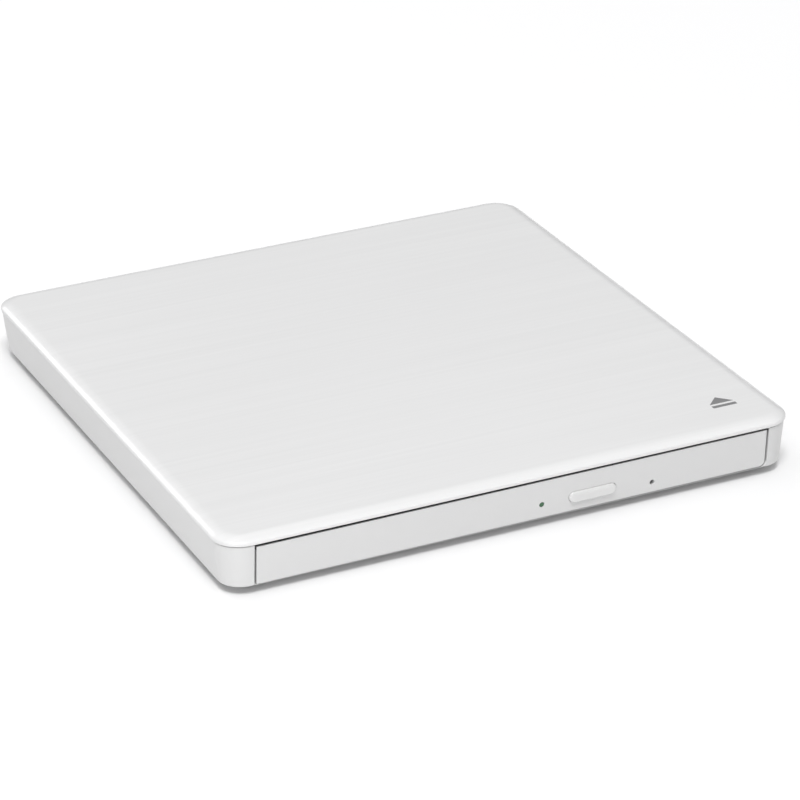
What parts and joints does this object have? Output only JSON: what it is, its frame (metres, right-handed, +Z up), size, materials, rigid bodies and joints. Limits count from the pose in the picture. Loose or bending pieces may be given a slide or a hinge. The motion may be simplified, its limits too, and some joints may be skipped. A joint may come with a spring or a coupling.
{
  "type": "external optical disc drive",
  "caption": "Slim flat external optical disc drive with a drawer tray, spindle hub, sliding laser pickup, latch and push button.",
  "frame": {"origin": "centre of the case's outline, on the plane the feet stand on", "axes": "+X to the right seen from the front, front panel toward -Y, +Z up"},
  "size_m": [0.1376, 0.144, 0.014],
  "materials": {
    "cover_shell": "fine brushed pearl lacquer, satin",
    "case_shell": "white moulded plastic, semi gloss",
    "bezel_plastic": "white moulded plastic, semi gloss",
    "button_plastic": "white moulded plastic, semi gloss",
    "foot_rubber": "soft grey",
    "screw_steel": "plated",
    "label": "blank film label",
    "sheet_steel": "zinc coated sheet",
    "circuit_board": "green lacquer",
    "socket_shell": "nickel plated",
    "contact_gold": "gold plated",
    "chip_black": "moulded epoxy",
    "connector_ivory": "moulded nylon",
    "ribbon_film": "polyimide film",
    "pin_steel": "turned",
    "moving_plastic": "moulded acetal",
    "spring_steel": "wire",
    "rail_plastic": "natural acetal",
    "tray_plastic": "fine grain",
    "lamp_lens": "clear green light guide",
    "led_body": "clear epoxy",
    "cast_alloy": "die cast",
    "dark_sheet": "black coated sheet",
    "damper_rubber": "soft black",
    "lamination": "stacked electrical steel",
    "copper_wire": "enamelled copper wire",
    "bearing_brass": "sintered bronze",
    "rod_steel": "ground and polished",
    "motor_can": "drawn steel can",
    "switch_shell": "stamped cover",
    "latch_plastic": "natural acetal",
    "hub_metal": "fine turned",
    "cover_sheet": "bare spring sheet",
    "lens_glass": "coated lens"
  },
  "bodies": {
    "case": {"top_cover": "cover_shell", "bottom_case": "case_shell", "rubber_feet": "foot_rubber", "case_screws": "screw_steel", "bottom_label": "label", "shield_plate": "sheet_steel", "chassis_plate": "sheet_steel", "channel_left": "sheet_steel", "channel_right": "sheet_steel", "main_board": "circuit_board", "usb_socket": "socket_shell", "usb_contacts": "contact_gold", "controller_chip": "chip_black", "board_parts": "chip_black", "ribbon_connector": "connector_ivory", "board_screws": "screw_steel", "ribbon_cable": "ribbon_film", "latch_post": "pin_steel", "eject_pusher": "moving_plastic", "eject_spring": "spring_steel"},
    "tray": {"tray_frame": "tray_plastic", "front_bezel": "bezel_plastic", "led_lens": "lamp_lens", "status_led": "led_body", "tray_bottom_plate": "sheet_steel", "traverse_frame": "cast_alloy", "traverse_cover": "dark_sheet", "dampers": "damper_rubber", "traverse_screws": "screw_steel", "motor_base": "sheet_steel", "stator": "lamination", "stator_coils": "copper_wire", "bearing_sleeve": "bearing_brass", "guide_rod_main": "rod_steel", "guide_rod_sub": "rod_steel", "sled_motor": "motor_can", "front_board": "circuit_board", "eject_switch": "switch_shell", "solenoid_coil": "copper_wire", "solenoid_yoke": "sheet_steel", "tray_connector": "connector_ivory"},
    "rail_left": {"rail_left": "rail_plastic"},
    "rail_right": {"rail_right": "rail_plastic"},
    "eject_button": {"eject_button": "button_plastic"},
    "solenoid_plunger": {"solenoid_plunger": "pin_steel"},
    "latch_lever": {"latch_lever": "latch_plastic"},
    "spindle": {"rotor_cup": "motor_can", "turntable": "moving_plastic", "friction_ring": "damper_rubber", "hub": "hub_metal", "spindle_shaft": "rod_steel"},
    "claw_1": {"claw_1": "hub_metal"},
    "claw_2": {"claw_2": "hub_metal"},
    "claw_3": {"claw_3": "hub_metal"},
    "pickup": {"pickup_base": "cast_alloy", "pickup_cover": "cover_sheet", "laser_diode": "contact_gold"},
    "lens": {"lens_holder": "moving_plastic", "objective_lens": "lens_glass"},
    "lead_screw": {"lead_screw": "rod_steel"}
  },
  "joints": [
    {"name": "tray_slide", "type": "slide", "parent": "case", "child": "tray", "axis": [0, -1, 0], "range_m": [0, 0.125], "deforming": ["ribbon_cable"]},
    {"name": "rail_left_slide", "type": "slide", "parent": "case", "child": "rail_left", "axis": [0, -1, 0], "range_m": [0, 0.0625]},
    {"name": "rail_right_slide", "type": "slide", "parent": "case", "child": "rail_right", "axis": [0, -1, 0], "range_m": [0, 0.0625]},
    {"name": "eject_button_press", "type": "slide", "parent": "tray", "child": "eject_button", "axis": [0, 1, 0], "range_m": [0, 0.0006], "stiffness_N_per_m": 600, "springref_m": -0.0008},
    {"name": "latch_lever_turn", "type": "hinge", "parent": "tray", "child": "latch_lever", "pos_m": [0.03, -0.064, 0.0052], "axis": [0, 0, 1], "range_deg": [0, 11.5]},
    {"name": "solenoid_plunger_slide", "type": "slide", "parent": "tray", "child": "solenoid_plunger", "axis": [-1, 0, 0], "range_m": [0, 0.0016], "stiffness_N_per_m": 40, "springref_m": -0.0005},
    {"name": "spindle_spin", "type": "hinge", "parent": "tray", "child": "spindle", "pos_m": [0, -0.0085, 0.0087], "axis": [0, 0, 1], "continuous": true},
    {"name": "claw_1_slide", "type": "slide", "parent": "spindle", "child": "claw_1", "axis": [0.2588, 0.9659, 0], "range_m": [0, 0.0006], "stiffness_N_per_m": 300, "springref_m": -0.0003},
    {"name": "claw_2_slide", "type": "slide", "parent": "spindle", "child": "claw_2", "axis": [-0.9659, -0.2588, 0], "range_m": [0, 0.0006], "stiffness_N_per_m": 300, "springref_m": -0.0003},
    {"name": "claw_3_slide", "type": "slide", "parent": "spindle", "child": "claw_3", "axis": [0.7071, -0.7071, 0], "range_m": [0, 0.0006], "stiffness_N_per_m": 300, "springref_m": -0.0003},
    {"name": "pickup_slide", "type": "slide", "parent": "tray", "child": "pickup", "axis": [-0.7071, -0.7071, 0], "range_m": [0, 0.0333]},
    {"name": "lens_focus", "type": "slide", "parent": "pickup", "child": "lens", "axis": [0, 0, 1], "range_m": [-0.0003, 0.0003], "stiffness_N_per_m": 60},
    {"name": "lead_screw_spin", "type": "hinge", "parent": "tray", "child": "lead_screw", "pos_m": [-0.03217, -0.01875, 0.0054], "axis": [-0.7071, -0.7071, 0], "range_deg": [-5, 4005]}
  ],
  "couplings": [
    {"joint": "rail_left_slide", "follows": "tray_slide", "ratio": 0.5},
    {"joint": "rail_right_slide", "follows": "tray_slide", "ratio": 0.5},
    {"joint": "latch_lever_turn", "follows": "solenoid_plunger_slide", "rad_per_m": 125},
    {"joint": "lead_screw_spin", "follows": "pickup_slide", "rad_per_m": 2094.4}
  ]
}
